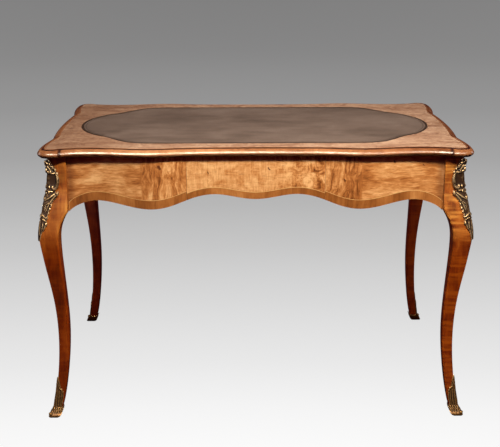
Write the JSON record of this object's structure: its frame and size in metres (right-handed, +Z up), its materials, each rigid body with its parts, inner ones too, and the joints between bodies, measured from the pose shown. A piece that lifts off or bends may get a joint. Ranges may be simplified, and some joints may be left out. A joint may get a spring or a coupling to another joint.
{
  "type": "writing table",
  "caption": "Writing table with a shaped leather-lined top, lobed frieze holding a flush drawer, and cabriole legs with bronze knee mounts and toe caps",
  "frame": {"origin": "on the floor under the middle of the top", "axes": "+X along the length to the right as the sitter sees it from the front, +Y to the back, +Z up; the drawer opens towards -Y"},
  "size_m": [1.1384, 0.6844, 0.75],
  "materials": {
    "walnut_top": "french polished",
    "walnut_moulding": "french polished",
    "walnut_frieze": "french polished",
    "walnut_crossband": "french polished",
    "walnut_leg": "french polished",
    "boxwood": "polished line",
    "carcase_wood": "unfinished",
    "drawer_lining": "unfinished",
    "leather": "waxed hide",
    "gilt_bronze": "worn gilding",
    "steel_screw": "plain"
  },
  "bodies": {
    "table": {"top_board": "walnut_top", "edge_moulding_front": "walnut_moulding", "edge_moulding_back": "walnut_moulding", "edge_moulding_left": "walnut_moulding", "edge_moulding_right": "walnut_moulding", "corner_moulding_front_left": "walnut_moulding", "corner_moulding_front_right": "walnut_moulding", "corner_moulding_back_left": "walnut_moulding", "corner_moulding_back_right": "walnut_moulding", "writing_leather": "leather", "leg_front_left": "walnut_leg", "leg_front_right": "walnut_leg", "leg_back_left": "walnut_leg", "leg_back_right": "walnut_leg", "knee_mount_front_left": "gilt_bronze", "knee_mount_front_right": "gilt_bronze", "knee_mount_back_left": "gilt_bronze", "knee_mount_back_right": "gilt_bronze", "sabot_front_left": "gilt_bronze", "sabot_front_right": "gilt_bronze", "sabot_back_left": "gilt_bronze", "sabot_back_right": "gilt_bronze", "mount_pins": "gilt_bronze", "front_apron_left": "walnut_frieze", "front_apron_right": "walnut_frieze", "back_apron": "walnut_frieze", "left_apron": "walnut_frieze", "right_apron": "walnut_frieze", "crossband_front_left": "walnut_crossband", "crossband_front_right": "walnut_crossband", "crossband_back": "walnut_crossband", "crossband_left": "walnut_crossband", "crossband_right": "walnut_crossband", "stringing_front_left": "boxwood", "stringing_front_right": "boxwood", "stringing_back": "boxwood", "stringing_left": "boxwood", "stringing_right": "boxwood", "front_top_rail": "carcase_wood", "front_bearer_rail": "carcase_wood", "drawer_runner_left": "carcase_wood", "drawer_runner_right": "carcase_wood", "drawer_guide_left": "carcase_wood", "drawer_guide_right": "carcase_wood", "drawer_kicker_left": "carcase_wood", "drawer_kicker_right": "carcase_wood", "drawer_stops": "carcase_wood", "corner_blocks": "carcase_wood", "top_glue_blocks": "carcase_wood", "top_screws": "steel_screw"},
    "drawer": {"drawer_front": "walnut_frieze", "drawer_side_left": "drawer_lining", "drawer_side_right": "drawer_lining", "drawer_back": "drawer_lining", "drawer_bottom": "drawer_lining", "drawer_screws": "steel_screw", "crossband_drawer": "walnut_crossband", "stringing_drawer": "boxwood"}
  },
  "joints": [
    {"name": "drawer_slide", "type": "slide", "parent": "table", "child": "drawer", "axis": [0, -1, 0], "range_m": [0, 0.38]}
  ]
}
